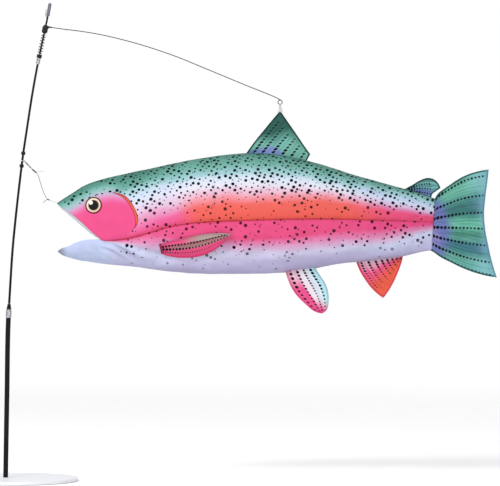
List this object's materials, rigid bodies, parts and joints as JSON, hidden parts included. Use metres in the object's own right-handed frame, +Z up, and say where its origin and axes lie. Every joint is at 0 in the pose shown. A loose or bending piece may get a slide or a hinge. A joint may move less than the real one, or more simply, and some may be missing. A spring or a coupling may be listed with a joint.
{
  "type": "fish windsock on a pole",
  "caption": "Open-mouthed fabric trout windsock hung from a spring wire arm that turns round a slender bowed pole, with a line from its nose and a flat round base.",
  "frame": {"origin": "on the underside of the round base, at its middle, below the pole's foot", "axes": "+Z up; +X from the fish's nose to its tail, along the way it streams from the pole; the fish's middle plane and the bowed pole lie in the plane Y = 0"},
  "size_m": [0.9749, 0.25, 0.8263],
  "materials": {
    "base": "pale powder coat",
    "pole": "black glass-fibre rod with a soft shine",
    "ferrule": "plain grey sleeve",
    "collar": "black moulded plastic",
    "cord": "black braided cord",
    "spring": "dark oiled spring wire",
    "stop": "black rubber bead",
    "wire": "grey spring wire",
    "ribbon": "white ribbon",
    "ring": "bright wire",
    "line": "grey line",
    "pink_cloth": "printed polyester with a slight sheen",
    "green_cloth": "printed polyester with a slight sheen",
    "pale_cloth": "printed polyester with a slight sheen",
    "green_fin": "printed polyester, hemmed",
    "pink_fin": "printed polyester, hemmed",
    "eye": "printed on the cheek"
  },
  "bodies": {
    "pole": {"stand_base": "base", "pole_tube": "pole", "pole_ferrule": "ferrule", "pole_cone": "pole", "pole_rod": "pole", "upper_ferrule": "ferrule", "spring_collar": "collar", "top_rod": "pole", "end_cap": "collar", "cap_strand": "cord", "coil_spring": "spring", "stop_lower": "stop", "stop_upper": "stop"},
    "swivel": {"swivel_hub": "collar", "arm_wire": "wire", "hanger_tab": "ribbon", "nose_ring": "ring", "line_swivel": "ring", "knot_upper": "cord", "nose_line": "line", "knot_lower": "cord", "head": "pink_cloth", "lower_jaw": "pale_cloth", "back_panel": "green_cloth", "belly_panel": "pale_cloth", "tail_stalk": "pink_cloth", "dorsal_fin": "green_fin", "adipose_fin": "green_fin", "anal_fin": "pink_fin", "tail_fin": "green_fin", "pelvic_fin_near": "pink_fin", "pelvic_fin_far": "pink_fin", "pectoral_fin_near": "pink_fin", "pectoral_fin_far": "pink_fin", "eye_near": "eye", "eye_far": "eye"}
  },
  "joints": [
    {"name": "swivel_turn", "type": "hinge", "parent": "pole", "child": "swivel", "pos_m": [0.02882, 0, 0.5534], "axis": [0.1705, 0, 0.9854], "continuous": true}
  ]
}
